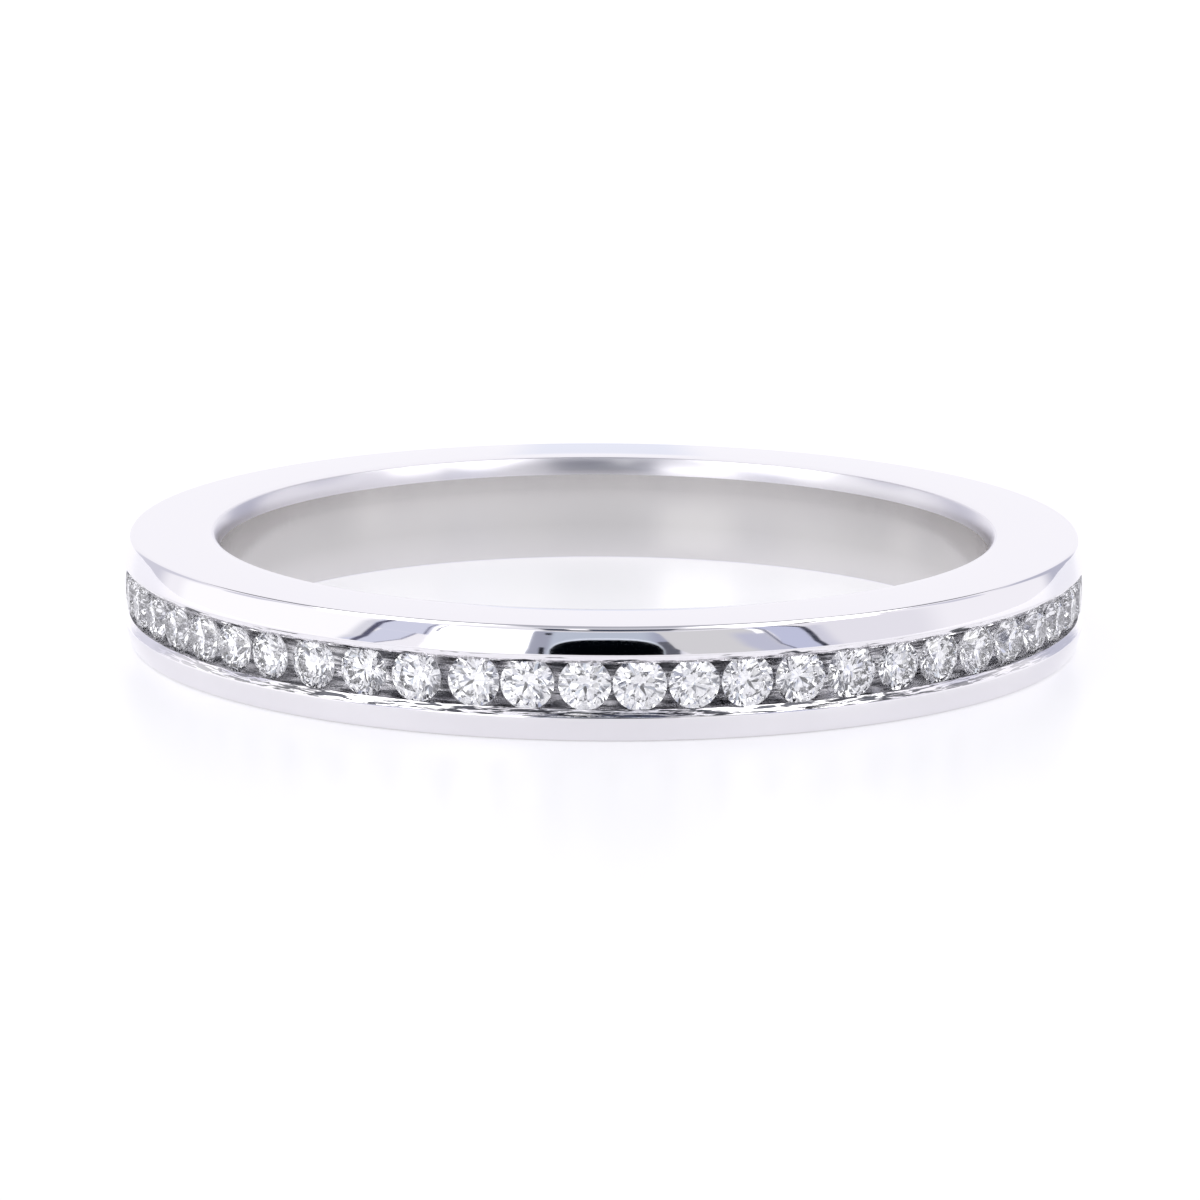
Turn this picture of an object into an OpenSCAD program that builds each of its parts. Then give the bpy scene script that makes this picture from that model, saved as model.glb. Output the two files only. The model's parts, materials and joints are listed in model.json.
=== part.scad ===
// Channel set band: a polished precious metal ring with a channel cut round its outside,
// and a full row of round brilliants held by their girdles between the two rails.
// The ring lies on its side. Origin: centre of the lower side face, on the finger axis.
// +Z runs along the finger axis, and -Y is the side that is looked at.

/* [Ring] */
// Inside diameter, where the finger goes
finger_d = 16.8; // [14:0.1:22]
// Thickness from the finger hole out to the crests of the two lips
wall_t = 2.1; // [1.9:0.05:2.6]
// Width of the band along the finger
band_w = 2.38; // [2.2:0.02:3.6]
// Radius of the low dome across the outside of the rails
dome_r = 3.6; // [3:0.1:8]
// Radius of the broad shoulder between the finger hole and the upper side
shoulder_round = 0.6; // [0.3:0.05:0.7]
// How far the shoulder turns before the flat upper side cuts it off, in degrees
shoulder_turn = 40; // [30:1:90]
// Rounding of the lower edge next to the finger
finger_round = 0.06; // [0.03:0.01:0.2]
// Softening of the two outer edges
edge_round = 0.07; // [0.03:0.01:0.12]

/* [Stones] */
// Girdle diameter of each brilliant
stone_d = 1.05; // [0.9:0.01:1.2]
// Least gap between neighbouring girdles
stone_gap = 0.10; // [0.1:0.01:0.3]
// Angle of the first stone, measured from the front of the ring
first_stone_deg = -2.6; // [-6:0.1:6]
// Turn of each stone about its own axis, against the stone before it
stone_turn = 17; // [0:1:45]
// Width of the table as a share of the girdle diameter
table_share = 0.57; // [0.5:0.01:0.65]
// Slope of the crown's main facets
crown_deg = 34; // [30:0.5:36]
// Slope of the pavilion's main facets
pavilion_deg = 41; // [39:0.5:42]
// Thickness of the girdle
girdle_t = 0.035; // [0.02:0.005:0.06]
// How far the star facets reach from the table to the girdle, as a share
star_share = 0.5; // [0.4:0.05:0.6]
// How far the lower girdle facets reach from the girdle to the culet, as a share
lower_share = 0.77; // [0.7:0.01:0.85]

/* [Channel] */
// How far each girdle reaches under a lip
seat_grip = 0.065; // [0.04:0.005:0.1]
// Clearance between a stone and its seat
seat_clear = 0.03; // [0.02:0.005:0.04]
// Width of the bright cut slope on each lip
lip_w = 0.17; // [0.1:0.01:0.25]
// How far that slope falls from the crest towards the stones
lip_drop = 0.08; // [0.05:0.01:0.1]
// How far the tables lie below the crests
table_sink = 0.05; // [0:0.01:0.08]
// Space between the culets and the channel's floor
culet_clear = 0.10; // [0.05:0.01:0.2]

/* [Hidden] */

// Straight steps in each rounding, and across the dome
round_steps = 6;
dome_steps = 5;

finger_r = finger_d / 2;
crest_r = finger_r + wall_t;
half_w = band_w / 2;

// Places on a stone, from the middle of its girdle's upper edge
stone_r = stone_d / 2;
table_r = stone_r * table_share;
crown_h = (stone_r - table_r) * tan(crown_deg);
pavilion_h = stone_r * tan(pavilion_deg);

// Radii from the finger axis
girdle_top_r = crest_r - table_sink - crown_h;
girdle_low_r = girdle_top_r - girdle_t;
floor_r = girdle_low_r - pavilion_h - culet_clear;

// Half widths from the middle of the band
opening_half = stone_r - seat_grip;
crest_half = opening_half + lip_w;
seat_half = stone_r + seat_clear;
seat_depth = seat_half - opening_half;

// The dome's centre lies on the middle of the band, and its arc passes the crests
dome_x = crest_r - sqrt(dome_r ^ 2 - crest_half ^ 2);
// The rounding of an outer edge touches the dome and the side face
edge_x = dome_x + sqrt((dome_r - edge_round) ^ 2 - (half_w - edge_round) ^ 2);
edge_deg = asin((half_w - edge_round) / (dome_r - edge_round));
crest_deg = asin(crest_half / dome_r);
// Height above the middle of the band at which the shoulder leaves the finger hole
shoulder_foot = half_w - shoulder_round * sin(shoulder_turn);

// Half the angle from one stone to the next: two girdles lean apart by their gap
least_half_pitch = atan(stone_r / girdle_low_r) + asin(stone_gap / 2 / norm([stone_r, girdle_low_r]));
stones_n = floor(180 / least_half_pitch);
pitch_deg = 360 / stones_n;

// Points of an arc, both ends included
function arc(centre, r, from_deg, to_deg, steps) = [
    for (i = [0:steps])
        let (a = from_deg + (to_deg - from_deg) * i / steps)
        centre + r * [cos(a), sin(a)]
];

// The band's section: x is the radius, y the height above the middle of the band.
// Its finger side runs from the lower side face up to the upper one.
finger_points = concat(
    arc([finger_r + finger_round, finger_round - half_w], finger_round, 270, 180, round_steps),
    arc([finger_r + shoulder_round, shoulder_foot], shoulder_round, 180, 180 - shoulder_turn, round_steps)
);

// Its upper rail runs from the upper side face over the dome, down into the channel
rail_points = concat(
    arc([edge_x, half_w - edge_round], edge_round, 90, edge_deg, round_steps),
    arc([dome_x, 0], dome_r, edge_deg, crest_deg, dome_steps),
    [
        [crest_r - lip_drop, opening_half],
        [girdle_top_r + seat_clear + seat_depth * tan(crown_deg), opening_half],
        [girdle_top_r + seat_clear, seat_half],
        [girdle_low_r - seat_clear, seat_half],
        [girdle_low_r - seat_clear - seat_depth * tan(pavilion_deg), opening_half],
        [floor_r, opening_half]
    ]
);

// Points that follow each other at the same place, such as where two arcs meet, count once
function no_doubles(points) = [
    for (i = [0:len(points) - 1])
        if (i == 0 || norm(points[i] - points[max(i - 1, 0)]) > 0.0001) points[i]
];

function mirrored(points) = [for (i = [len(points) - 1:-1:0]) [points[i][0], -points[i][1]]];

module band() {
    rail = no_doubles(rail_points);
    color("gainsboro")
        translate([0, 0, half_w])
            rotate_extrude($fn = 180)
                polygon(concat(finger_points, rail, mirrored(rail)));
}

// A ring of points at one height, start_deg is the angle of the first
function ring(n, r, z, start_deg) = [
    for (i = [0:n - 1]) [r * cos(start_deg + i * 360 / n), r * sin(start_deg + i * 360 / n), z]
];

// One round brilliant with its table up and the upper edge of its girdle at z = 0.
// Eight mains stand at every 45 degrees, and the star and lower points lie midway between them.
module brilliant() {
    half = 22.5;
    star_r = table_r * cos(half) + (stone_r - table_r * cos(half)) * star_share;
    star_z = (stone_r - star_r * cos(half)) * tan(crown_deg);
    lower_r = stone_r * (1 - lower_share);
    lower_z = -girdle_t - (stone_r - lower_r * cos(half)) * tan(pavilion_deg);

    // First index of each ring of points
    table_i = 0;
    star_i = 8;
    top_i = 16;
    bottom_i = 32;
    lower_i = 48;
    culet_i = 56;
    points = concat(
        ring(8, table_r, crown_h, 0),
        ring(8, star_r, star_z, half),
        ring(16, stone_r, 0, 0),
        ring(16, stone_r, -girdle_t, 0),
        ring(8, lower_r, lower_z, half),
        [[0, 0, -girdle_t - pavilion_h]]
    );
    faces = concat(
        [[for (k = [7:-1:0]) table_i + k]],
        [for (k = [0:7]) let (n = (k + 1) % 8) [table_i + k, table_i + n, star_i + k]],
        [for (k = [0:7]) [table_i + k, star_i + k, top_i + 2 * k, star_i + (k + 7) % 8]],
        [for (k = [0:7]) [star_i + k, top_i + 2 * k + 1, top_i + 2 * k]],
        [for (k = [0:7]) [star_i + k, top_i + (2 * k + 2) % 16, top_i + 2 * k + 1]],
        [for (k = [0:15]) let (n = (k + 1) % 16) [top_i + k, top_i + n, bottom_i + n, bottom_i + k]],
        [for (k = [0:7]) [lower_i + k, bottom_i + 2 * k, bottom_i + 2 * k + 1]],
        [for (k = [0:7]) [lower_i + k, bottom_i + 2 * k + 1, bottom_i + (2 * k + 2) % 16]],
        [for (k = [0:7]) [culet_i, lower_i + (k + 7) % 8, bottom_i + 2 * k, lower_i + k]]
    );
    polyhedron(points, faces);
}

// The whole row, table outwards, each stone with its girdle in the two seats
module stones() {
    color("white")
        for (k = [0:stones_n - 1])
            rotate([0, 0, first_stone_deg + k * pitch_deg])
                translate([0, -girdle_top_r, half_w])
                    rotate([90, 0, 0])
                        rotate([0, 0, k * stone_turn])
                            brilliant();
}

band();
stones();
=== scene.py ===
"""Channel set band: a mirror polished white gold ring with a full row of round brilliants.

The ring lies on its side on a white table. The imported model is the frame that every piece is
fitted to, and all pieces are modelled in millimetres and brought to metres at the end.
"""
import json
import logging
import math
from dataclasses import dataclass
from enum import Enum

import bmesh
import bpy
from mathutils import Matrix, Vector


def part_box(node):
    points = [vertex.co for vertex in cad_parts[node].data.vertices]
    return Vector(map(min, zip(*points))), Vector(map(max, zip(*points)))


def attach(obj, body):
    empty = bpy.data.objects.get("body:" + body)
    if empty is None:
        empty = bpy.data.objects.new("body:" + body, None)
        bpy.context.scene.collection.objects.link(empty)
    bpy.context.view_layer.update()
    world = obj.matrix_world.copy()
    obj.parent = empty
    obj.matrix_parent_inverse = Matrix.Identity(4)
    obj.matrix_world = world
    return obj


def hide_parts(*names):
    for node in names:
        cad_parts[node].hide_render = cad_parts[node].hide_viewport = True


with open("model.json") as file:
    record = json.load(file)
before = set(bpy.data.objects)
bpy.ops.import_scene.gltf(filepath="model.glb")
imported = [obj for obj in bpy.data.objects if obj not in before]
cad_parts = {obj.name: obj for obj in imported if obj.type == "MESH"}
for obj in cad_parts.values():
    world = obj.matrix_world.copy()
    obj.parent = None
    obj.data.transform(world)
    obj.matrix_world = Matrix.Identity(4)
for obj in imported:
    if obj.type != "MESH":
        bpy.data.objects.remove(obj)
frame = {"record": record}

LOG = logging.getLogger("channel_set_band")

MM = 0.001
BODY = "root"
# Points that lie closer than this, in millimetres, are one point
NEAR = 1e-4
# A brilliant's pattern repeats eight times round the stone
REPEATS = 8
REPEAT_DEG = 45
HALF_STEP = math.radians(REPEAT_DEG / 2)
# Socket numbers of a Mix node that mixes colours
FACTOR, COLOUR_A, COLOUR_B, MIXED = 0, 6, 7, 2

Inputs = dict[str | int, object]
Tree = bpy.types.NodeTree
Socket = bpy.types.NodeSocket
Sum = tuple[str] | tuple[str, float | Socket]
Corner = tuple[float, float]


def linear(hex_colour: str) -> tuple[float, float, float, float]:
    """Turns an sRGB hex colour into the linear colour that a shader takes.

    Args:
        hex_colour: Six hex digits, such as "dcdce0".

    Returns:
        Linear red, green, blue and an alpha of one.
    """
    shares = [int(hex_colour[i : i + 2], 16) / 255 for i in (0, 2, 4)]
    red, green, blue = (s / 12.92 if s <= 0.04045 else ((s + 0.055) / 1.055) ** 2.4 for s in shares)
    return red, green, blue, 1.0


def add_node(tree: Tree, kind: str, inputs: Inputs | None = None, **settings: object) -> bpy.types.Node:
    """Adds one node, sets its settings, and fills or links its sockets.

    Args:
        tree: The node tree that gets the node.
        kind: Blender's name for the node type, such as "ShaderNodeMath".
        inputs: For each socket's name or number, a value, or the output socket to link from.
        settings: The node's own properties.

    Returns:
        The new node.
    """
    node = tree.nodes.new(kind)
    for name, value in settings.items():
        setattr(node, name, value)
    for key, value in (inputs or {}).items():
        if isinstance(value, Socket):
            tree.links.new(value, node.inputs[key])
        else:
            node.inputs[key].default_value = value
    return node


def worked_out(tree: Tree, value: Socket, *sums: Sum) -> Socket:
    """Adds the nodes that take a value through a row of sums.

    Args:
        tree: The node tree that gets the nodes.
        value: The value's socket.
        sums: For each sum its operation and, where it has one, its second term.

    Returns:
        The result's socket.
    """
    for operation, *second in sums:
        terms = dict(enumerate([value, *second]))
        value = add_node(tree, "ShaderNodeMath", terms, operation=operation).outputs[0]
    return value


def ramp(tree: Tree, value: Socket, start: float, full: float, rise: str = "SMOOTHSTEP") -> Socket:
    """Adds a ramp that is zero where a value is at start, and one where it is at full.

    Args:
        tree: The node tree that gets the node.
        value: The value's socket.
        start: One end of the ramp.
        full: Its other end, which may be the lower one.
        rise: Blender's name for the way it rises between them.

    Returns:
        The ramp's socket.
    """
    ends = {"Value": value, "From Min": start, "From Max": full}
    return add_node(tree, "ShaderNodeMapRange", ends, interpolation_type=rise).outputs["Result"]


def grain(tree: Tree, size_mm: float, pace: tuple[float, float, float], more: Inputs) -> Socket:
    """Adds a noise pattern on the piece's own coordinates, drawn out where its pace is below one.

    Args:
        tree: The material's node tree.
        size_mm: The grain's width.
        pace: How fast the pattern changes along X, Y and Z, as a share.
        more: The noise's other inputs.

    Returns:
        The pattern's height.
    """
    place = add_node(tree, "ShaderNodeTexCoord").outputs["Object"]
    drawn = add_node(tree, "ShaderNodeMapping", {"Vector": place, "Scale": pace}).outputs["Vector"]
    noise = {"Vector": drawn, "Scale": 1 / (size_mm * MM)} | more
    return add_node(tree, "ShaderNodeTexNoise", noise).outputs["Fac"]


def make_piece(
    name: str, bm: bmesh.types.BMesh, materials: list[bpy.types.Material]
) -> bpy.types.Object:
    """Turns a bmesh in millimetres into a piece of the object in metres that rides on the body.

    Args:
        name: The piece's name.
        bm: The finished mesh, freed here.
        materials: Materials in the order of the faces' material numbers.

    Returns:
        The new object, at the origin.
    """
    bmesh.ops.scale(bm, vec=Vector((MM, MM, MM)), verts=bm.verts)
    mesh = bpy.data.meshes.new(name)
    bm.to_mesh(mesh)
    bm.free()
    for material in materials:
        mesh.materials.append(material)
    piece = bpy.data.objects.new(name, mesh)
    bpy.context.scene.collection.objects.link(piece)
    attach(piece, BODY)
    return piece


@dataclass(frozen=True)
class Finish:
    """The finish of a surface, which becomes a node material of its own."""

    name: str
    colour: str
    roughness: float

    def surface(self, tree: Tree) -> Inputs:
        """Adds the nodes of the finish's patterns, where it has them.

        Args:
            tree: The material's node tree.

        Returns:
            The shader's inputs.
        """
        return {"Base Color": linear(self.colour), "Roughness": self.roughness}

    def build(self) -> bpy.types.Material:
        """Builds the material: the finish's patterns, the shader and the output.

        Returns:
            The new material.
        """
        material = bpy.data.materials.new(self.name)
        material.use_nodes = True
        tree = material.node_tree
        tree.nodes.clear()
        shader = add_node(tree, "ShaderNodeBsdfPrincipled", self.surface(tree))
        add_node(tree, "ShaderNodeOutputMaterial", {"Surface": shader.outputs["BSDF"]})
        return material


@dataclass(frozen=True)
class WhiteGold(Finish):
    """18 carat white gold, which is all mirror: its colour is that of what it reflects."""

    def surface(self, tree: Tree) -> Inputs:
        """Makes the surface a metal."""
        return super().surface(tree) | {"Metallic": 1.0}


@dataclass(frozen=True)
class MirrorGold(WhiteGold):
    """White gold, cast, polished to a mirror and rhodium plated.

    The plating gives a cool white mirror. Hand polishing leaves the surface very slightly uneven,
    so that reflected edges bend, and a few hairlines catch the light. They are drawn_out times as
    long as they are wide.
    """

    name: str = "rhodium_plated_white_gold_mirror_polished"
    colour: str = "efedf0"
    roughness: float = 0.035
    wave_mm: float = 2.6
    wave_height_mm: float = 0.0016
    wave_detail: float = 0.4
    hairline_mm: float = 0.05
    drawn_out: float = 20.0
    hairline_span: tuple[float, float] = (0.35, 0.75)
    hairline_roughness: float = 0.02

    def surface(self, tree: Tree) -> Inputs:
        """Adds the waves of the hand polish and the wheel's hairlines.

        Args:
            tree: The material's node tree.

        Returns:
            The shader's inputs.
        """
        waves = grain(tree, self.wave_mm, (1.0, 1.0, 1.0), {"Detail": 1.0, "Roughness": self.wave_detail})
        relief = {"Height": waves, "Distance": self.wave_height_mm * MM}
        bump = add_node(tree, "ShaderNodeBump", relief)
        # Hairlines follow the polishing wheel, round the ring
        pace = (1 / self.drawn_out, 1 / self.drawn_out, 1.0)
        hairs = grain(tree, self.hairline_mm, pace, {"Detail": 3.0})
        polish = add_node(
            tree, "ShaderNodeMapRange",
            {
                "Value": hairs,
                "From Min": self.hairline_span[0],
                "From Max": self.hairline_span[1],
                "To Min": self.roughness,
                "To Max": self.roughness + self.hairline_roughness,
            },
        )
        made = {"Roughness": polish.outputs["Result"], "Normal": bump.outputs["Normal"]}
        return super().surface(tree) | made


@dataclass(frozen=True)
class ToolStreaksPaintedShade:
    """Fine wavy lines along the ring, as a graver or a milling cutter leaves them, darkened by painted
    shade.

    They are drawn out along the ring and follow no straight course. Their relief is the tool's, and their
    darkness is painted reflection and shade. It sets in over the stretch of the fade, measured from the
    ring's middle towards the front. Unless that stretch is given, they are as dark all round.
    """

    width_mm: float
    drawn_out: float
    wander: float
    low: float
    high: float
    painted_shade_fade_mm: tuple[float, float] = (-12.0, -11.0)

    def build(self, tree: Tree) -> tuple[Socket, Socket]:
        """Adds the streaks' nodes.

        Args:
            tree: The material's node tree.

        Returns:
            The streaks' height and their darkness, which is painted shade, from zero to one.
        """
        pace = (1 / self.drawn_out, 1 / self.drawn_out, 1.0)
        lines = grain(tree, self.width_mm, pace, {"Detail": 3.0, "Distortion": self.wander})
        place = add_node(tree, "ShaderNodeTexCoord").outputs["Object"]
        parts = add_node(tree, "ShaderNodeSeparateXYZ", {"Vector": place})
        start, full = (-reach * MM for reach in self.painted_shade_fade_mm)
        # The painted shade sets in towards the front of the ring
        painted_front_share = ramp(tree, parts.outputs["Y"], start, full, "LINEAR")
        return lines, worked_out(tree, ramp(tree, lines, self.low, self.high), ("MULTIPLY", painted_front_share))


@dataclass(frozen=True)
class StreakedGold(WhiteGold):
    """White gold with the streaks of a cutting tool as relief, and darker lines along them as painted
    reflection and shade.
    """

    painted_shade_colour: str
    streaks: ToolStreaksPaintedShade
    height_mm: float

    def surface(self, tree: Tree) -> Inputs:
        """Adds the tool's streaks and their painted shade.

        Args:
            tree: The material's node tree.

        Returns:
            The shader's inputs.
        """
        height, dark = self.streaks.build(tree)
        # Painted shade: the streaks' darkness mixes a dark colour into the metal's
        tint = add_node(
            tree, "ShaderNodeMix",
            {FACTOR: dark, COLOUR_A: linear(self.colour), COLOUR_B: linear(self.painted_shade_colour)},
            data_type="RGBA",
        )
        relief = {"Height": height, "Distance": self.height_mm * MM}
        bump = add_node(tree, "ShaderNodeBump", relief)
        made = {"Base Color": tint.outputs[MIXED], "Normal": bump.outputs["Normal"]}
        return super().surface(tree) | made


@dataclass(frozen=True)
class BrightCutGold(StreakedGold):
    """White gold cut with a polished graver along the upper lip, which holds the stones.

    A graver leaves a brighter slope than a wheel does, with a slow ripple from the hand. A few dark wavy
    lines are painted on it as painted reflection and shade.
    """

    name: str = "rhodium_plated_white_gold_bright_cut_painted_shade"
    colour: str = "fbf9fc"
    roughness: float = 0.05
    # Painted reflection and shade of the dark wavy lines
    painted_shade_colour: str = "4e4f55"
    streaks: ToolStreaksPaintedShade = ToolStreaksPaintedShade(width_mm=0.085, drawn_out=9.0, wander=0.5, low=0.56, high=0.65)
    height_mm: float = 0.006


@dataclass(frozen=True)
class LowerLipPaintedShadeGold(BrightCutGold):
    """The same cut along the lower lip, with finer and denser dark lines.

    Their darkness is painted reflection of the camera and painted shade of the stones, and it is painted in
    towards the front of the ring.
    """

    name: str = "rhodium_plated_white_gold_lower_cut_painted_shade"
    # The lines' painted reflection and shade fade in towards the front
    streaks: ToolStreaksPaintedShade = ToolStreaksPaintedShade(
        width_mm=0.036, drawn_out=14.0, wander=0.7, low=0.455, high=0.545, painted_shade_fade_mm=(4.0, 8.8)
    )


@dataclass(frozen=True)
class MilledGold(StreakedGold):
    """White gold as the milling cutter leaves it, on the channel's walls and floor.

    Its colour is painted lighter than the polished metal's, as painted light in the shaded channel. Cutter
    marks run round the ring as relief, with the colour light on their crests and painted dark between them,
    as painted shade in the grooves that makes the metal look greyer.
    """

    name: str = "white_gold_milled_channel_painted_light"
    # Painted light: lighter than the polished metal, in the shaded channel
    colour: str = "f2f1f3"
    roughness: float = 0.24
    # Painted shade between the cutter marks
    painted_shade_colour: str = "8b8b8f"
    streaks: ToolStreaksPaintedShade = ToolStreaksPaintedShade(width_mm=0.05, drawn_out=11.0, wander=0.3, low=0.45, high=0.57)
    height_mm: float = 0.007


@dataclass(frozen=True)
class FeltPolishedGold(WhiteGold):
    """White gold on the broad shoulder of the finger hole, rounded over and polished with felt.

    Felt leaves a soft shine that a hard wheel would sharpen to a mirror.
    """

    name: str = "rhodium_plated_white_gold_felt_polished"
    colour: str = "e4e2e7"
    roughness: float = 0.30
    spread: float = 0.9

    def surface(self, tree: Tree) -> Inputs:
        """Spreads the shine across the felt's way round the ring, which is up the shoulder."""
        up = add_node(tree, "ShaderNodeCombineXYZ", {"Z": 1.0})
        return super().surface(tree) | {"Anisotropic": self.spread, "Tangent": up.outputs["Vector"]}


@dataclass(frozen=True)
class WornSatinGold(WhiteGold):
    """White gold inside the finger hole: lapped with a felt stick and not plated again.

    The stick runs along the finger's axis and leaves a soft, slightly streaky shine, whose streaks change
    upright_share times as fast along the axis as round it. The metal is painted lighter towards the lower
    side, as painted reflection of the bright table.
    """

    name: str = "white_gold_felt_lapped_bore_painted_light"
    colour: str = "cfcdcc"
    roughness: float = 0.16
    # Painted light: lighter low in the hole, as painted reflection of the bright table, and on the band's
    # lower outer edge darker than the polished metal, as painted contact shadow
    painted_light_low_colour: str = "e1dfdf"
    low_height_mm: float = 0.8
    streak_mm: float = 0.35
    upright_share: float = 0.15
    streak_height_mm: float = 0.004

    def surface(self, tree: Tree) -> Inputs:
        """Adds the stick's streaks and the painted reflection that lightens the metal low in the hole.

        Args:
            tree: The material's node tree.

        Returns:
            The shader's inputs.
        """
        streaks = grain(tree, self.streak_mm, (1.0, 1.0, self.upright_share), {"Detail": 2.0})
        relief = {"Height": streaks, "Distance": self.streak_height_mm * MM}
        bump = add_node(tree, "ShaderNodeBump", relief)
        place = add_node(tree, "ShaderNodeTexCoord").outputs["Object"]
        parts = add_node(tree, "ShaderNodeSeparateXYZ", {"Vector": place})
        # Painted reflection of the bright table: lighter towards it
        painted_light_share = ramp(tree, parts.outputs["Z"], 0.0, self.low_height_mm * MM, "LINEAR")
        tint = add_node(
            tree, "ShaderNodeMix",
            {FACTOR: painted_light_share, COLOUR_A: linear(self.painted_light_low_colour), COLOUR_B: linear(self.colour)},
            data_type="RGBA",
        )
        made = {"Base Color": tint.outputs[MIXED], "Normal": bump.outputs["Normal"]}
        return super().surface(tree) | made


@dataclass(frozen=True)
class Diamond(Finish):
    """Diamond: colourless, very high refraction, facets polished flat."""

    name: str = "diamond_polished_facets"
    colour: str = "fdfdff"
    roughness: float = 0.0
    ior: float = 2.417

    def surface(self, tree: Tree) -> Inputs:
        """Lets the light through the stone."""
        return super().surface(tree) | {"IOR": self.ior, "Transmission Weight": 1.0}


@dataclass(frozen=True)
class BrutedDiamond(Diamond):
    """The girdle as it is ground round: fine frosted diamond, which reads as a thin grey rim."""

    name: str = "diamond_bruted_girdle"
    colour: str = "e6e6ea"
    roughness: float = 0.45


@dataclass(frozen=True)
class MattAcrylic(Finish):
    """The table's white acrylic sheet, lit from below, so that it stays white under the ring."""

    name: str = "white_matt_acrylic"
    colour: str = "b4b4b7"
    roughness: float = 0.3
    gloss: float = 0.3
    glow_colour: str = "fbfaff"
    glow: float = 0.43

    def surface(self, tree: Tree) -> Inputs:
        """Gives the sheet its low gloss and its glow."""
        return super().surface(tree) | {
            "Specular IOR Level": self.gloss,
            "Emission Color": linear(self.glow_colour),
            "Emission Strength": self.glow,
        }


class BandFinish(Enum):
    """The finishes on the band, in the order of its faces' material numbers."""

    POLISHED = MirrorGold()
    BRIGHT_CUT = BrightCutGold()
    MILLED = MilledGold()
    SATIN = WornSatinGold()
    FELT = FeltPolishedGold()
    LOWER_LIP_PAINTED_SHADE = LowerLipPaintedShadeGold()


@dataclass(frozen=True)
class Rounding:
    """The rounding of an edge: how far from the edge it starts, and how many faces cross it."""

    size: float
    faces: int


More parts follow.
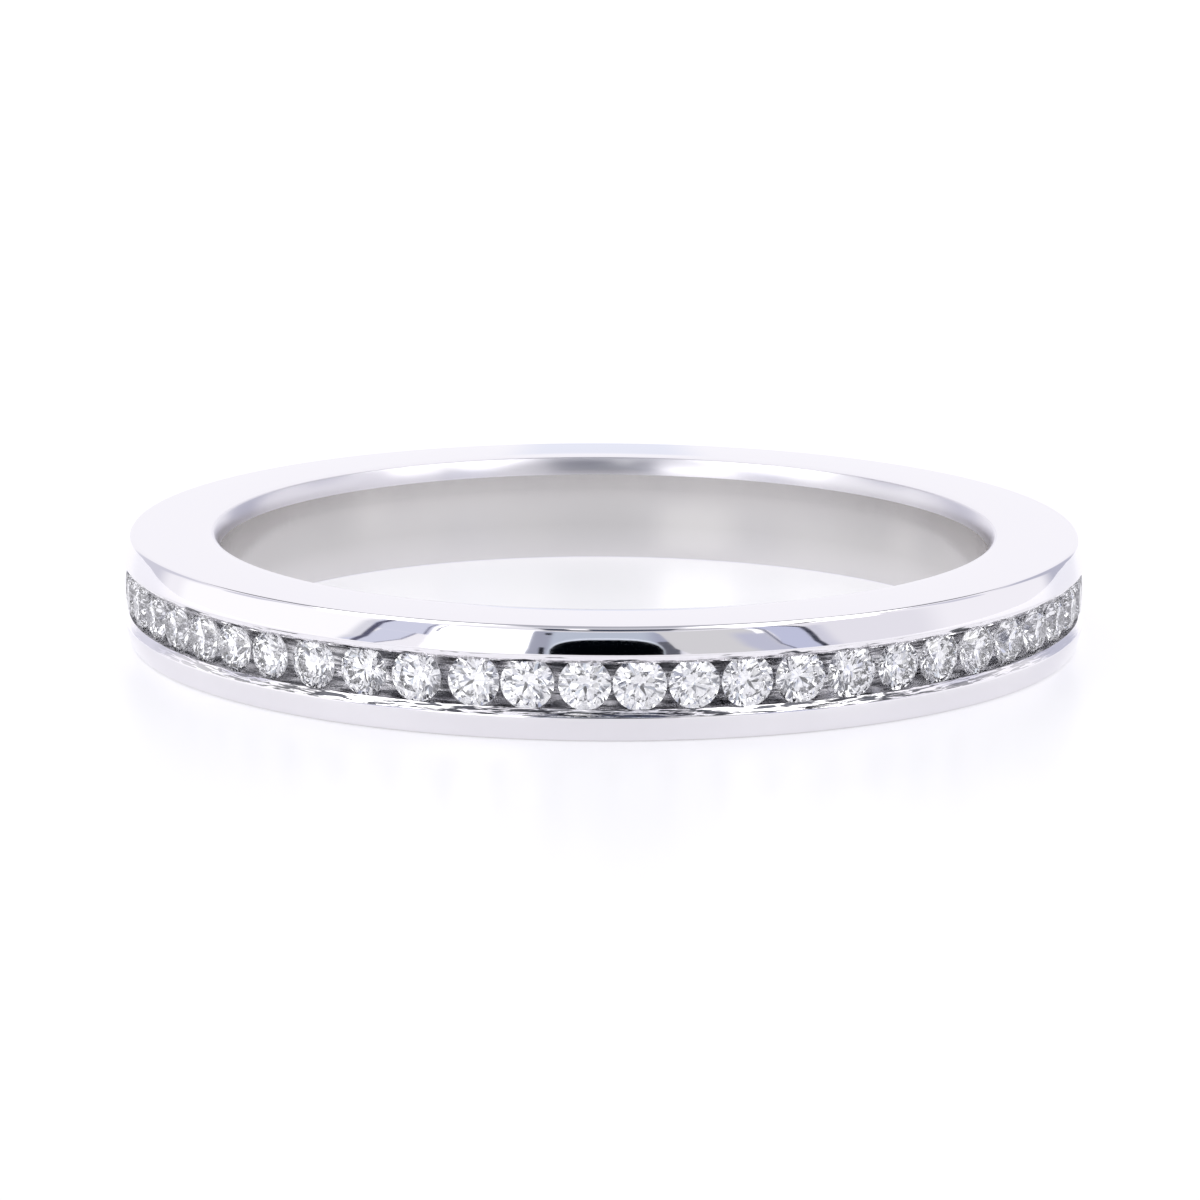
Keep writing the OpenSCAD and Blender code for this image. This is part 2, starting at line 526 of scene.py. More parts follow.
@dataclass
class Band:
    """The cast ring: one solid with two rails, two bright cut lips, stone seats and a channel.

    All sizes are in millimetres. Radii are from the finger axis and heights from the table. The
    whole section is drawn once, spun round the finger axis and rounded edge by edge. A face's
    middle may lie up to skin inside the surface that its points are on.
    """

    finger_radius: float
    crest_radius: float
    width: float
    wall_bulge: float = 0.015
    wall_curve: float = 12.0
    wall_steps: int = 6
    shoulder_round: float = 0.60
    shoulder_cut_deg: float = 36.0
    shoulder_steps: int = 14
    edge_round: float = 0.08
    edge_steps: int = 7
    roll_deg: float = 7.0
    roll_width: float = 0.24
    roll_steps: int = 6
    dome_radius: float = 3.6
    dome_steps: int = 4
    # Height of the lower outer edge that takes the darker bore finish, as a painted contact shadow
    painted_contact_shadow_height: float = 0.03
    opening_half: float = 0.47
    lip_width: float = 0.17
    lip_drop: float = 0.11
    channel_shift: float = -0.03
    seat_half: float = 0.58
    seat_top: float = 10.34
    seat_low: float = 10.22
    wall_low: float = 10.12
    floor_radius: float = 9.7
    finger_low_edge: Rounding = Rounding(0.06, 5)
    top_edge: Rounding = Rounding(0.08, 10)
    low_edge: Rounding = Rounding(0.07, 8)
    crest_edge: Rounding = Rounding(0.028, 4)
    lip_foot_edge: Rounding = Rounding(0.016, 3)
    skin: float = 0.012
    steps: int = 384
    flat_weight: int = 90

    @property
    def half_width(self) -> float:
        """Half of the band's width, which is also the height of its middle."""
        return self.width / 2

    @property
    def channel_middle(self) -> float:
        """Height of the channel's middle."""
        return self.half_width + self.channel_shift

    @property
    def crest_half(self) -> float:
        """Distance from the channel's middle out to the crest of a lip."""
        return self.opening_half + self.lip_width

    @property
    def lip_foot(self) -> float:
        """Radius at which a lip's slope ends at the opening."""
        return self.crest_radius - self.lip_drop

    @property
    def shoulder_cut(self) -> float:
        """Turn of the shoulder's arc in radians, up to the upper side's edge."""
        return math.radians(self.shoulder_cut_deg)

    @property
    def edge_turn(self) -> float:
        """Turn of the profile in radians where the upper side's roll starts."""
        return math.radians(90 - self.roll_deg)

    @property
    def roll_drop(self) -> float:
        """How far the upper side's rolled edge falls: its slope dies away evenly over its width."""
        return self.roll_width * math.tan(math.radians(self.roll_deg)) / 2

    @property
    def shoulder_foot(self) -> float:
        """Height at which the shoulder leaves the finger hole's wall."""
        shoulder = self.shoulder_round * math.sin(self.shoulder_cut)
        edge = self.edge_round * (math.sin(self.edge_turn) - math.sin(self.shoulder_cut))
        return self.width - self.roll_drop - shoulder - edge

    @property
    def edge_radius(self) -> float:
        """Radius at which the shoulder's rounded edge meets the upper side."""
        shoulder = self.shoulder_round * (1 - math.cos(self.shoulder_cut))
        edge = self.edge_round * (math.cos(self.shoulder_cut) - math.cos(self.edge_turn))
        return self.wall_at(self.shoulder_foot) + shoulder + edge

    def dome_at(self, height: float) -> float:
        """Gives the dome's radius from the finger axis at a height above the table."""
        centre = self.crest_radius - math.sqrt(self.dome_radius**2 - self.crest_half**2)
        return centre + math.sqrt(self.dome_radius**2 - (height - self.half_width) ** 2)

    def wall_at(self, height: float) -> float:
        """Gives the finger hole's radius at a height: the wall bulges a little for comfort."""
        fall = self.wall_curve - math.sqrt(self.wall_curve**2 - (height - self.half_width) ** 2)
        return self.finger_radius - self.wall_bulge + fall

    def arc(self, corner: Corner, size: float, turns: tuple[float, float], steps: int) -> list[Corner]:
        """Gives the corners of an arc that goes on from a corner, up and away from the finger.

        Args:
            corner: The radius and height that the arc starts from.
            size: The arc's own radius.
            turns: The profile's turn from upright in radians, at the arc's start and at its end.
            steps: Straight steps in the arc.

        Returns:
            The radius and height of each corner after the first.
        """
        start, stop = turns
        bends = [start + (stop - start) * i / steps for i in range(1, steps + 1)]
        return [
            (
                corner[0] + size * (math.cos(start) - math.cos(bend)),
                corner[1] + size * (math.sin(bend) - math.sin(start)),
            )
            for bend in bends
        ]

    def finger_side(self) -> list[Corner]:
        """Gives the corners from the table up the wall and over its rounded shoulder.

        The shoulder is one broad arc, cut short where the upper side is ground flat. Polishing
        then rounds the edge between them and rolls the upper side over a little.

        Returns:
            The radius and height of each corner.
        """
        foot, cut = self.shoulder_foot, self.shoulder_cut
        heights = [foot * i / self.wall_steps for i in range(self.wall_steps + 1)]
        wall = [(self.wall_at(height), height) for height in heights]
        shoulder = self.arc(wall[-1], self.shoulder_round, (0.0, cut), self.shoulder_steps)
        edge = self.arc(shoulder[-1], self.edge_round, (cut, self.edge_turn), self.edge_steps)
        shares = [i / self.roll_steps for i in range(1, self.roll_steps + 1)]
        roll = [
            (self.edge_radius + self.roll_width * share, self.width - self.roll_drop * (1 - share) ** 2)
            for share in shares
        ]
        return wall + shoulder + edge + roll

    def rail(self, start: float, stop: float) -> list[Corner]:
        """Gives the corners along the dome from one height to another."""
        heights = [start + (stop - start) * i / self.dome_steps for i in range(self.dome_steps + 1)]
        return [(self.dome_at(height), height) for height in heights]

    def section(self) -> list[Corner]:
        """Draws the band's section, up the finger hole's wall and back down outside.

        Returns:
            The radius and height of each corner.
        """
        middle = self.channel_middle
        wall = [
            (self.lip_foot, self.opening_half),
            (self.seat_top, self.seat_half),
            (self.seat_low, self.seat_half),
            (self.wall_low, self.opening_half),
            (self.floor_radius, self.opening_half),
        ]
        return [
            *self.finger_side(),
            *self.rail(self.width, middle + self.crest_half),
            *((radius, middle + aside) for radius, aside in wall),
            *((radius, middle - aside) for radius, aside in reversed(wall)),
            *self.rail(middle - self.crest_half, 0.0),
        ]

    def round_ring(self, bm: bmesh.types.BMesh, corner: Corner, rounding: Rounding) -> None:
        """Rounds the circular edge that runs through one corner of the section.

        Args:
            bm: The spun band.
            corner: The corner's radius and height.
            rounding: The edge's rounding.
        """
        on_ring = {
            v for v in bm.verts
            if abs(math.hypot(v.co.x, v.co.y) - corner[0]) < NEAR and abs(v.co.z - corner[1]) < NEAR
        }
        ring = [edge for edge in bm.edges if on_ring.issuperset(edge.verts)]
        bmesh.ops.bevel(
            bm, geom=ring, offset=rounding.size, offset_type="OFFSET", affect="EDGES",
            segments=rounding.faces, profile=0.5, material=-1, clamp_overlap=False,
        )

    def finish_of(self, face: bmesh.types.BMFace) -> BandFinish:
        """Says how a face is finished, from where it lies.

        Args:
            face: A face of the band.

        Returns:
            The face's finish.
        """
        middle = face.calc_center_median()
        radius = math.hypot(middle.x, middle.y)
        if radius < self.finger_radius + self.finger_low_edge.size:
            return BandFinish.SATIN if middle.z < self.shoulder_foot + self.skin else BandFinish.FELT
        if radius < self.edge_radius and middle.z > self.half_width:
            return BandFinish.FELT
        # The lower outer edge on the table takes the darker bore finish, as a painted contact shadow
        if radius > self.dome_at(0.0) - self.low_edge.size and middle.z < self.painted_contact_shadow_height:
            return BandFinish.SATIN
        outside = abs(middle.z - self.channel_middle) > self.crest_half - self.skin
        if radius < self.floor_radius - self.skin or outside:
            return BandFinish.POLISHED
        if radius < self.lip_foot - self.skin:
            return BandFinish.MILLED
        return BandFinish.BRIGHT_CUT if middle.z > self.channel_middle else BandFinish.LOWER_LIP_PAINTED_SHADE

    def build(self) -> bpy.types.Object:
        """Builds and dresses the band.

        Returns:
            The band, which stands for the CAD node.
        """
        bm = bmesh.new()
        line = [bm.verts.new((radius, 0.0, height)) for radius, height in self.section()]
        sides = [bm.edges.new(pair) for pair in zip(line, line[1:] + line[:1])]
        bmesh.ops.spin(
            bm, geom=line + sides, cent=Vector(), axis=Vector((0, 0, 1)), dvec=Vector(),
            angle=math.tau, steps=self.steps, use_merge=True, use_duplicate=False,
        )
        bmesh.ops.recalc_face_normals(bm, faces=bm.faces)
        self.round_ring(bm, (self.wall_at(0.0), 0.0), self.finger_low_edge)
        self.round_ring(bm, (self.dome_at(self.width), self.width), self.top_edge)
        self.round_ring(bm, (self.dome_at(0.0), 0.0), self.low_edge)
        for side in (1, -1):
            crest = self.channel_middle + side * self.crest_half
            foot = self.channel_middle + side * self.opening_half
            self.round_ring(bm, (self.dome_at(crest), crest), self.crest_edge)
            self.round_ring(bm, (self.lip_foot, foot), self.lip_foot_edge)
        numbers = {finish: number for number, finish in enumerate(BandFinish)}
        for face in bm.faces:
            face.smooth = True
            face.material_index = numbers[self.finish_of(face)]
        materials = [finish.value.build() for finish in BandFinish]
        piece = make_piece("polished_band", bm, materials)
        weighted = piece.modifiers.new("flat_faces_stay_flat", "WEIGHTED_NORMAL")
        weighted.mode = "FACE_AREA"
        weighted.weight = self.flat_weight
        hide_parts("band")
        return piece


@dataclass
class Brilliant:
    """One round brilliant, cut from a round blank by flat facets as a cutter does.

    It is cut at ten times the size of a one millimetre stone and scaled to each stone's size. The
    upper edge of its girdle is at height zero, and its table points along +Z. The heart is a point
    that stays inside the stone, and a face whose normal tips less than girdle_tip is the girdle's.
    """

    radius: float = 5.0
    table_share: float = 0.57
    crown_deg: float = 34.0
    pavilion_deg: float = 41.0
    girdle: float = 0.33
    star_share: float = 0.5
    lower_share: float = 0.78
    blank_sides: int = 64
    blank_share: float = 4.0
    heart_share: float = 0.3
    girdle_tip: float = 0.05

    def ring(self, radius: float, height: float, count: int, offset: float = 0.0) -> list[Vector]:
        """Gives evenly spread points at one height.

        Args:
            radius: The points' distance from the stone's axis.
            height: Their height.
            count: How many there are.
            offset: The first point's angle in half steps of the pattern.

        Returns:
            The points, counted round the stone.
        """
        step = 2 * REPEATS // count
        angles = [(step * k + offset) * HALF_STEP for k in range(count)]
        return [Vector((radius * math.cos(a), radius * math.sin(a), height)) for a in angles]

    def cut(self, bm: bmesh.types.BMesh, *on_facet: Vector) -> None:
        """Grinds one flat facet through three points and closes the cut.

        Args:
            bm: The stone so far.
            on_facet: Three points of the facet's plane.
        """
        first, second, third = on_facet
        normal = (second - first).cross(third - first).normalized()
        if normal.dot(first - Vector((0, 0, -self.heart_share * self.radius))) < 0:
            normal.negate()
        made = bmesh.ops.bisect_plane(
            bm, geom=bm.verts[:] + bm.edges[:] + bm.faces[:], dist=NEAR,
            plane_co=first, plane_no=normal, clear_outer=True,
        )
        rim = [part for part in made["geom_cut"] if isinstance(part, bmesh.types.BMEdge)]
        open_rim = [edge for edge in rim if edge.is_boundary]
        if open_rim:
            bmesh.ops.contextual_create(bm, geom=open_rim)

    def build(self) -> bpy.types.Mesh:
        """Cuts the stone: table, stars and kites above, mains below, then both sets of girdle facets.

        Returns:
            The stone's mesh, with the girdle's faces on material number one.
        """
        bm = bmesh.new()
        crown_slope = math.tan(math.radians(self.crown_deg))
        pavilion_slope = math.tan(math.radians(self.pavilion_deg))
        table_radius = self.radius * self.table_share
        star_radius = table_radius * math.cos(HALF_STEP)
        star_radius += (self.radius - star_radius) * self.star_share
        star_height = (self.radius - star_radius * math.cos(HALF_STEP)) * crown_slope
        lower_radius = self.radius * (1 - self.lower_share)
        lower_depth = (self.radius - lower_radius * math.cos(HALF_STEP)) * pavilion_slope
        bmesh.ops.create_cone(
            bm, cap_ends=True, segments=self.blank_sides, radius1=self.radius, radius2=self.radius,
            depth=self.blank_share * self.radius,
        )
        tables = self.ring(table_radius, (self.radius - table_radius) * crown_slope, REPEATS)
        stars = self.ring(star_radius, star_height, REPEATS, 1)
        uppers = self.ring(self.radius, 0.0, 2 * REPEATS)
        lows = self.ring(self.radius, -self.girdle, 2 * REPEATS)
        lowers = self.ring(lower_radius, -self.girdle - lower_depth, REPEATS, 1)
        culet = Vector((0, 0, -self.girdle - self.radius * pavilion_slope))
        self.cut(bm, tables[0], tables[2], tables[4])
        for k in range(REPEATS):
            self.cut(bm, tables[k], stars[k], stars[k - 1])
        for k in range(REPEATS):
            self.cut(bm, culet, lowers[k], lowers[k - 1])
        for k in range(REPEATS):
            self.cut(bm, tables[k], tables[(k + 1) % REPEATS], stars[k])
        for k in range(2 * REPEATS):
            after = (k + 1) % (2 * REPEATS)
            self.cut(bm, stars[k // 2], uppers[k], uppers[after])
            self.cut(bm, lowers[k // 2], lows[k], lows[after])
        bmesh.ops.remove_doubles(bm, verts=bm.verts, dist=NEAR)
        bmesh.ops.recalc_face_normals(bm, faces=bm.faces)
        for face in bm.faces:
            face.material_index = 1 if abs(face.normal.z) < self.girdle_tip else 0
        mesh = bpy.data.meshes.new("brilliant_pattern")
        bm.to_mesh(mesh)
        bm.free()
        return mesh


@dataclass(frozen=True)
class Stone:
    """One stone as it sits in the channel: its place round the ring, girdle size and own turn."""

    angle_deg: float
    girdle_mm: float
    turn_deg: float


@dataclass
class StoneRow:
    """The full row of brilliants. The setter's hand shows in uneven gaps and turns.

    All sizes are in millimetres. Angles run from the front of the ring towards +X. The stones that
    the photo shows are listed, the hidden ones follow them evenly round the back, and their girdles
    vary by hidden_spread.
    """

    row_height: float
    girdle_radius: float = 10.295
    hidden_count: int = 38
    hidden_girdle: float = 1.075
    hidden_spread: float = 0.01
    hidden_beat: float = 2.4
    hidden_turn_deg: float = 17.0
    seen: tuple[Stone, ...] = (
        Stone(-54.4, 1.10, 12),
        Stone(-48.2, 1.07, 31),
        Stone(-42.0, 1.02, 5),
        Stone(-35.3, 1.07, 40),
        Stone(-28.4, 1.06, 22),
        Stone(-21.7, 1.08, 9),
        Stone(-14.8, 1.08, 36),
        Stone(-8.6, 1.10, 18),
        Stone(-2.1, 1.07, 2),
        Stone(4.1, 1.10, 27),
        Stone(10.3, 1.04, 14),
        Stone(16.5, 1.09, 43),
        Stone(22.9, 1.10, 7),
        Stone(29.5, 1.12, 33),
        Stone(36.0, 1.04, 20),
        Stone(42.3, 1.10, 1),
        Stone(48.9, 1.12, 38),
        Stone(55.6, 1.10, 25),
    )

    def stones(self) -> list[Stone]:
        """Lists every stone, once round the ring.

        Returns:
            The seen stones and then the hidden ones.
        """
        start = self.seen[-1].angle_deg
        pitch = (360 + self.seen[0].angle_deg - start) / (self.hidden_count + 1)
        hidden = [
            Stone(
                start + pitch * (k + 1),
                self.hidden_girdle + self.hidden_spread * math.sin(self.hidden_beat * k),
                self.hidden_turn_deg * k % REPEAT_DEG,
            )
            for k in range(self.hidden_count)
        ]
        return [*self.seen, *hidden]

    def build(self) -> bpy.types.Object:
        """Cuts one brilliant and sets it round the channel.

        Returns:
            The row of stones, which stands for the CAD node.
        """
        brilliant = Brilliant()
        pattern = brilliant.build()
        bm = bmesh.new()
        for stone in self.stones():
            before = len(bm.verts)
            bm.from_mesh(pattern)
            bm.verts.ensure_lookup_table()
            place = (
                Matrix.Rotation(math.radians(stone.angle_deg), 4, "Z")
                @ Matrix.Translation((0, -self.girdle_radius, self.row_height))
                @ Matrix.Rotation(math.radians(90), 4, "X")
                @ Matrix.Rotation(math.radians(stone.turn_deg), 4, "Z")
                @ Matrix.Scale(stone.girdle_mm / (2 * brilliant.radius), 4)
            )
            bmesh.ops.transform(bm, matrix=place, verts=bm.verts[before:])
        bpy.data.meshes.remove(pattern)
        materials = [Diamond().build(), BrutedDiamond().build()]
        piece = make_piece("brilliants", bm, materials)
        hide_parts("stones")
        return piece


@dataclass(frozen=True)
class Ray:
    """Sockets that give a ray's direction in degrees.

    azimuth runs from the front towards +X and elevation from the horizon up. beside is the angle
    from the upright plane through the camera, and pitch runs from the front horizon over the top.
    """

    azimuth: Socket
    elevation: Socket
    beside: Socket
    pitch: Socket


def between(tree: Tree, value: Socket, span: tuple[float, float], soft: float) -> Socket:
    """Adds a mask that is one where a value lies within a span.

    Args:
        tree: The world's node tree.
        value: The value's socket.
        span: Lowest and highest value.
        soft: Width of the fade at either end.

    Returns:
        The mask's socket.
    """
    low, high = span
    above = ramp(tree, value, low - soft / 2, low + soft / 2)
    below = ramp(tree, value, high + soft / 2, high - soft / 2)
    return worked_out(tree, above, ("MULTIPLY", below))


@dataclass(frozen=True)
class Card:
    """A patch of the studio's walls, by direction from the ring.

    across is its azimuth and up its elevation, in degrees. lean is how far its sides move across
    for each degree above lean_from. bow is how far they move more at bow_span above it, and they
    bend fast there.
    """

    name: str
    across: tuple[float, float]
    up: tuple[float, float]
    colour: str
    radiance: float
    soft: float = 1.0
    lean: float = 0.0
    lean_from: float = 9.0
    bow: float = 0.0
    bow_span: float = 15.0
    bow_power: float = 4.0

    def directions(self, ray: Ray) -> tuple[Socket, Socket]:
        """Gives the angles that across and up are counted in."""
        return ray.azimuth, ray.elevation

    def mask(self, tree: Tree, ray: Ray) -> Socket:
        """Adds the nodes that are one inside the patch and zero outside it.

        Args:
            tree: The world's node tree.
            ray: The ray's direction.

        Returns:
            The mask's socket.
        """
        across, up = self.directions(ray)
        rise = ("SUBTRACT", self.lean_from)
        moves = []
        if self.lean or self.bow:
            moves.append([rise, ("MULTIPLY", self.lean)])
        if self.bow:
            bend = [("DIVIDE", self.bow_span), ("MAXIMUM", 0.0), ("POWER", self.bow_power)]
            moves.append([rise, *bend, ("MULTIPLY", self.bow)])
        for sums in moves:
            across = worked_out(tree, across, ("SUBTRACT", worked_out(tree, up, *sums)))
        in_height = between(tree, up, self.up, self.soft)
        return worked_out(tree, between(tree, across, self.across, self.soft), ("MULTIPLY", in_height))


@dataclass(frozen=True)
class Canopy(Card):
    """A patch overhead, counted from the upright plane through the camera and over the top.

    It fades out where its elevation falls through the span of foot.
    """

    foot: tuple[float, float] = (25.0, 28.0)

    def directions(self, ray: Ray) -> tuple[Socket, Socket]:
        """Gives the angles that across and up are counted in."""
        return ray.beside, ray.pitch

    def mask(self, tree: Tree, ray: Ray) -> Socket:
        """Adds the patch's mask and its fade above the foot.

        Args:
            tree: The world's node tree.
            ray: The ray's direction.

        Returns:
            The mask's socket.
        """
        return worked_out(tree, super().mask(tree, ray), ("MULTIPLY", ramp(tree, ray.elevation, *self.foot)))


@dataclass(frozen=True)
class Dome(Card):
    """A card with upright sides up to its foot, and a broad rounded top."""

    foot: float = 8.0
    power: float = 2.8

    def mask(self, tree: Tree, ray: Ray) -> Socket:
        """Adds the mask of the rounded outline.

        Args:
            tree: The world's node tree.
            ray: The ray's direction.

        Returns:
            The mask's socket.
        """
        half = (self.across[1] - self.across[0]) / 2
        rounded = ("POWER", self.power)
        wide = [("SUBTRACT", sum(self.across) / 2), ("ABSOLUTE",), ("DIVIDE", half), rounded]
        height = self.up[1] - self.foot
        tall = [("SUBTRACT", self.foot), ("MAXIMUM", 0.0), ("DIVIDE", height), rounded]
        height_share = worked_out(tree, ray.elevation, *tall)
        fade = self.soft / half
        return ramp(tree, worked_out(tree, ray.azimuth, *wide, ("ADD", height_share)), 1 + fade, 1 - fade)


@dataclass
class Studio:
    """The white table, the light round it and the camera.

    The camera stands as far from the ring and as high as the photo's did, with its framing in
    pixels of the photo. Panels that come later in the list lie over the earlier ones.
    """

    table_half: float = 0.6
    base_colour: str = "faf9fe"
    base_radiance: float = 1.12
    mirror_strength: float = 0.95
    plain_colour: str = "ffffff"
    plain_radiance: float = 1.2
    panels: tuple[Card, ...] = (
        Card("back_wall_left", (-150, -128), (-20, 34), "e0e0ec", 1.0, soft=9),
        Card("back_wall_right", (130, 152), (-20, 34), "c6c7d8", 1.0, soft=9),
        Card("side_wall_left", (-118, -57), (-20, 44), "fbfbfd", 1.25, soft=6),
        Card("side_wall_right", (49, 84), (-20, 44), "e4e3ea", 1.2, soft=12),
        Canopy("ceiling_left_back", (-60, -36), (104, 126), "e2e2ee", 1.0, soft=5),
        Canopy("ceiling_right_back", (36, 60), (104, 126), "dcdcea", 1.0, soft=5),
        Card("horizon_back_right", (179.1, 190), (-20, 10.6), "e9ecf8", 1.12, soft=0.6),
        Card("horizon_back_left", (-190, -179.1), (-20, 10.6), "e9ecf8", 1.12, soft=0.6),
        Canopy("softbox_left", (-36, 0), (36, 125), "ffffff", 2.5, soft=3, lean=0.62, lean_from=103),
        Canopy("softbox_right", (0, 38), (34, 125), "ffffff", 2.5, soft=3, lean=-0.50, lean_from=100),
        Canopy("ceiling_left", (-60, -13), (22, 46), "e8e9ef", 1.15, soft=4),
        Canopy("ceiling_right", (15, 27), (22, 44), "b9bac0", 1.1, soft=4),
        Canopy("softbox_rim_right", (37, 42), (28, 100), "2b2d37", 1.1, soft=2, lean=-0.05, lean_from=80),
        Canopy("ceiling_seam", (-16, 16), (108, 134), "a0a1aa", 1.0, soft=4),
        Canopy("ceiling_seam_left", (-27, -16), (118, 142), "7c7d87", 1.0, soft=3),
        Canopy("ceiling_seam_right", (16, 27), (118, 142), "7c7d87", 1.0, soft=3),
        Canopy("camera_gap_low", (-13, 15), (20, 56), "4b4f5e", 1.1, soft=2),
        Canopy("camera_gap_top", (-12, 12), (56, 76), "e4e5ec", 1.1, soft=4),
        Canopy("camera_gap_back", (-12, 12), (76, 126), "b6b7c0", 1.1, soft=8),
        Canopy("gap_lamp", (-7, -3), (34, 60), "ffffff", 1.3, soft=1),
        Card("window_left", (-41.2, -17.2), (-20, 25), "ffffff", 2.4, soft=4, lean=0.1),
        Card("slot", (-17.6, 17.6), (-20, 25), "b8c0ce", 1.2, soft=0.7, lean=0.06),
        Card("slot_left", (-17.6, -12.9), (-20, 25), "9c9fae", 1.25, soft=1.6, lean=0.06),
        Card("slot_right", (11, 17.6), (-20, 25), "a2a6b8", 1.2, soft=5),
        Card("slot_right_low", (12.6, 17.6), (-20, 16.2), "5f616b", 1.2, soft=0.6),
        Card("grey_card", (17.6, 42.0), (-20, 25), "cdcdcf", 1.25, soft=0.6, lean=-0.35),
        Card("grey_card_cool", (34, 42.2), (-20, 19), "babccd", 1.25, soft=4, lean=-0.35),
        Card("white_tongue_right", (39.6, 41.6), (17.8, 24), "ffffff", 1.4, soft=0.5, lean=-0.35),
        Card("cool_card_right", (42.4, 51), (-20, 25), "bbbfd6", 1.25, soft=0.6, lean=-0.2, bow=-4.3),
        Card("card_edge_right", (42.0, 42.7), (-20, 25), "77798a", 1.2, soft=0.4, lean=-0.35),
        Card("window_edge_right", (51, 55), (-20, 20), "cfcfdc", 1.2, soft=4, lean=-0.2),
        Card("frame_right", (50.2, 51.8), (-20, 26), "3b3d4a", 1.2, soft=0.7, lean=-0.2, bow=-4.3),
        Card("window_shade_left", (-61.5, -57), (-20, 22), "d9dae2", 1.2, soft=3, lean=0.3),
        Card("cool_card_left", (-57.5, -42.6), (14.5, 25), "cbcedf", 1.25, soft=0.5, lean=0.15),
        Card("cool_card_left_low", (-57.5, -48.6), (-20, 14.5), "cbcedf", 1.25, soft=0.5, lean=0.7),
        Card("card_edge_left", (-43.9, -43.2), (14.5, 25), "84859a", 1.2, soft=0.4, lean=0.15),
        Card("card_edge_left_low", (-49.0, -48.3), (-20, 14.5), "84859a", 1.2, soft=0.4, lean=0.7),
        Card("tongue_edge_left", (-42.4, -41.7), (17.2, 25), "84859a", 1.2, soft=0.4, lean=0.25),
        Card("frame_left", (-58.3, -56.5), (-20, 25), "55556a", 1.2, soft=0.7, lean=0.3),
        Dome("lens_halo", (-12.6, 14.0), (-20, 18.9), "dfe7f2", 1.25, soft=1.2),
        Dome("lens", (-12.4, 13.8), (-20, 17.9), "03060b", 0.6, soft=0.5),
        Card("stand_clip_low", (-14.9, -13.7), (-20, 12.2), "0c0f18", 1.0, soft=0.3),
        Card("stand_clip_high", (-13.9, -12.3), (20.4, 22.0), "0c0f18", 1.0, soft=0.6),
    )
    camera_distance: float = 0.124
    camera_elevation_deg: float = 11.69
    camera_roll_deg: float = 0.288
    camera_clip: tuple[float, float] = (0.01, 10.0)
    focal_px: float = 5649.0
    picture_px: float = 1200.0
    middle_px: tuple[float, float] = (603.9, 580.0)
    middle_height: float = 0.0012
    sensor: float = 36.0
    glass_bounces: int = 24
    mirror_bounces: int = 12
    matt_bounces: int = 4

    def build_table(self) -> None:
        """Makes the white table that the ring lies on."""
        bm = bmesh.new()
        bmesh.ops.create_grid(bm, x_segments=1, y_segments=1, size=self.table_half)
        mesh = bpy.data.meshes.new("white_table")
        bm.to_mesh(mesh)
        bm.free()
        mesh.materials.append(MattAcrylic().build())
        table = bpy.data.objects.new("white_table", mesh)
        bpy.context.scene.collection.objects.link(table)

    def build_light(self) -> None:
        """Makes the soft light round the table, with the cards that the metal reflects."""
        world = bpy.data.worlds.new("soft_studio")
        world.use_nodes = True
        tree = world.node_tree
        tree.nodes.clear()
        direction = add_node(tree, "ShaderNodeTexCoord").outputs["Generated"]
        parts = add_node(tree, "ShaderNodeSeparateXYZ", {"Vector": direction}).outputs
        front = worked_out(tree, parts["Y"], ("MULTIPLY", -1.0))
        ray = Ray(
            azimuth=worked_out(tree, parts["X"], ("ARCTAN2", front), ("DEGREES",)),
            elevation=worked_out(tree, parts["Z"], ("ARCSINE",), ("DEGREES",)),
            beside=worked_out(tree, parts["X"], ("ARCSINE",), ("DEGREES",)),
            pitch=worked_out(tree, parts["Z"], ("ARCTAN2", front), ("DEGREES",)),
        )
        seen = (*(share * self.base_radiance for share in linear(self.base_colour)[:3]), 1.0)
        for panel in self.panels:
            shade = (*(share * panel.radiance for share in linear(panel.colour)[:3]), 1.0)
            mix = add_node(
                tree, "ShaderNodeMix",
                {FACTOR: panel.mask(tree, ray), COLOUR_A: seen, COLOUR_B: shade},
                data_type="RGBA", label=panel.name,
            )
            seen = mix.outputs[MIXED]
        # The camera and the matt table see plain white, the metal and the stones see the panels
        path = add_node(tree, "ShaderNodeLightPath").outputs
        plainly = worked_out(tree, path["Is Camera Ray"], ("ADD", path["Is Diffuse Ray"]))
        mirrored = add_node(tree, "ShaderNodeBackground", {"Color": seen, "Strength": self.mirror_strength})
        white = {"Color": linear(self.plain_colour), "Strength": self.plain_radiance}
        plain = add_node(tree, "ShaderNodeBackground", white)
        both = add_node(
            tree, "ShaderNodeMixShader",
            {0: plainly, 1: mirrored.outputs["Background"], 2: plain.outputs["Background"]},
        )
        add_node(tree, "ShaderNodeOutputWorld", {"Surface": both.outputs["Shader"]})
        # Rays reach the cards often enough by themselves, and looking for them costs more than it finds
        world.cycles.sampling_method = "NONE"
        bpy.context.scene.world = world

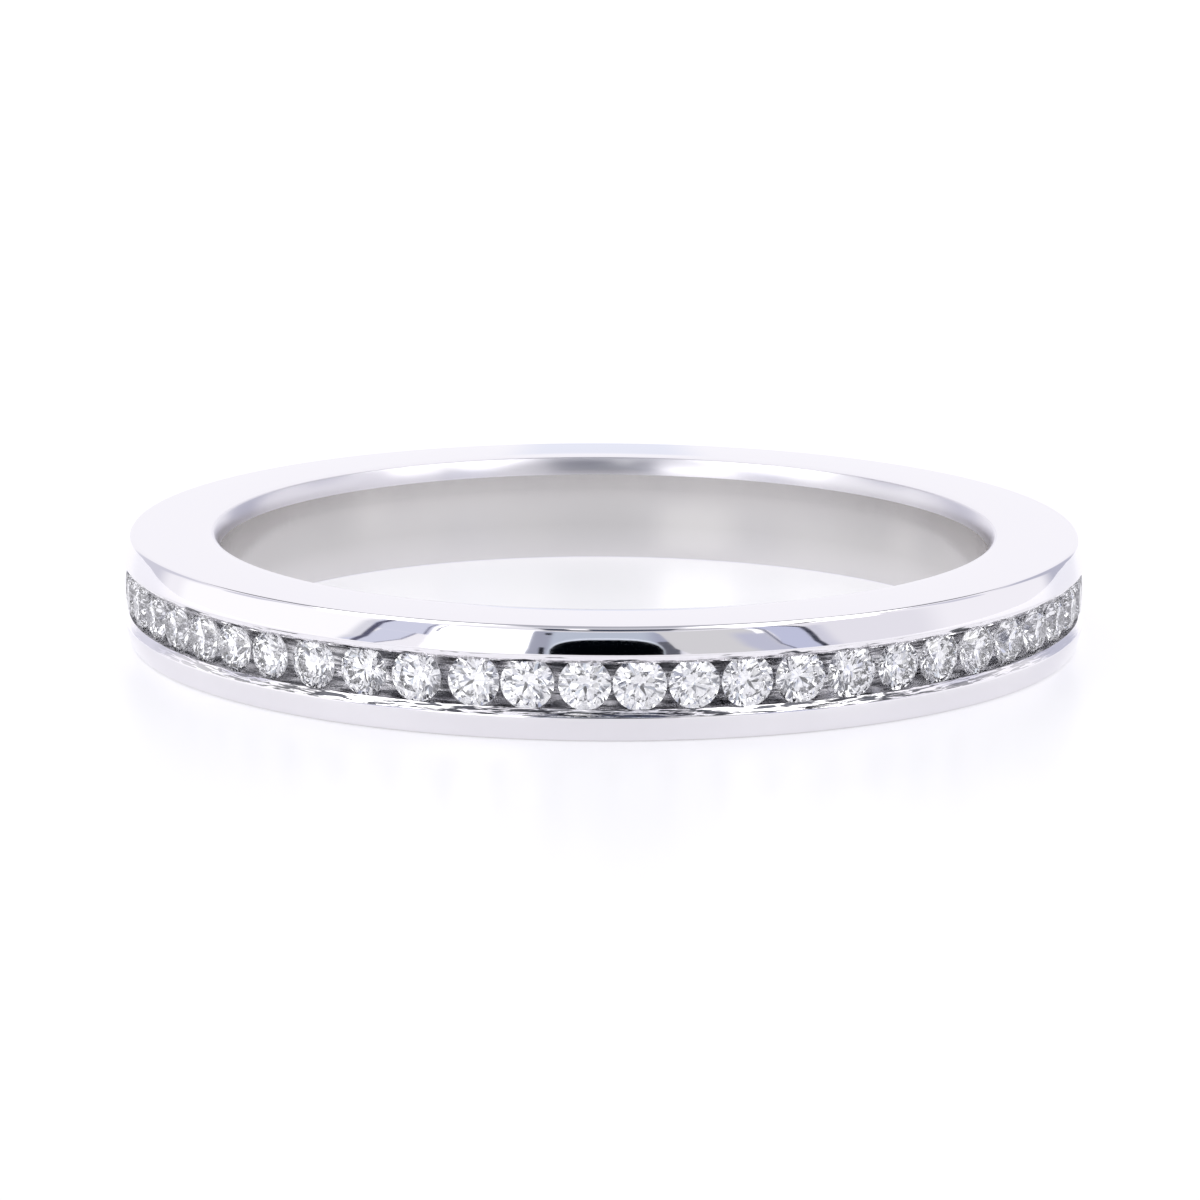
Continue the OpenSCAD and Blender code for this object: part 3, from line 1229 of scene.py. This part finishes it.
    def build_camera(self) -> None:
        """Makes the camera at the photo's angle, distance and framing."""
        data = bpy.data.cameras.new("photo_camera")
        data.sensor_width = self.sensor
        data.lens = self.focal_px / self.picture_px * self.sensor
        data.clip_start, data.clip_end = self.camera_clip
        tilt = math.radians(self.camera_elevation_deg)
        back = Vector((0, -math.cos(tilt), math.sin(tilt)))
        up = Vector((0, math.sin(tilt), math.cos(tilt)))
        middle = Vector((0, 0, self.middle_height))
        # The ring's middle isn't the picture's, so the camera looks a little beside it
        per_px = self.camera_distance / self.focal_px
        right_px, down_px = (px - self.picture_px / 2 for px in self.middle_px)
        target = middle - Vector((1, 0, 0)) * right_px * per_px + up * down_px * per_px
        place = middle + back * self.camera_distance
        turn = (target - place).to_track_quat("-Z", "Y").to_matrix().to_4x4()
        roll = Matrix.Rotation(math.radians(self.camera_roll_deg), 4, "Z")
        camera = bpy.data.objects.new("photo_camera", data)
        camera.matrix_world = Matrix.Translation(place) @ turn @ roll
        bpy.context.scene.collection.objects.link(camera)
        bpy.context.scene.camera = camera

    def set_render(self) -> None:
        """Sets how light is traced and shown, and leaves engine, samples and size alone."""
        scene = bpy.context.scene
        scene.view_settings.view_transform = "Standard"
        scene.view_settings.look = "None"
        scene.cycles.max_bounces = self.glass_bounces
        scene.cycles.transmission_bounces = self.glass_bounces
        scene.cycles.glossy_bounces = self.mirror_bounces
        scene.cycles.diffuse_bounces = self.matt_bounces
        scene.cycles.blur_glossy = 0.0


def mount_radius(name: str) -> float:
    """Reads a round mount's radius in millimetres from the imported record."""
    return next(m for m in frame["record"]["mounts"] if m["name"] == name)["dims"]["r_mm"]


def report(piece: bpy.types.Object) -> None:
    """Logs a piece's name and how many faces it has."""
    LOG.info("%s: %d faces", piece.name, len(piece.data.polygons))


def main() -> None:
    """Builds the ring and its studio."""
    logging.basicConfig(level=logging.INFO, format="%(name)s %(message)s")
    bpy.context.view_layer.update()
    band_low, band_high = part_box("band")
    band = Band(
        finger_radius=mount_radius("finger"),
        crest_radius=round(band_high.x / MM, 2),
        width=(band_high.z - band_low.z) / MM,
    )
    report(band.build())
    report(StoneRow(row_height=band.half_width + band.channel_shift / 2).build())
    studio = Studio()
    studio.build_table()
    studio.build_light()
    studio.build_camera()
    studio.set_render()


if __name__ == "__main__":
    main()
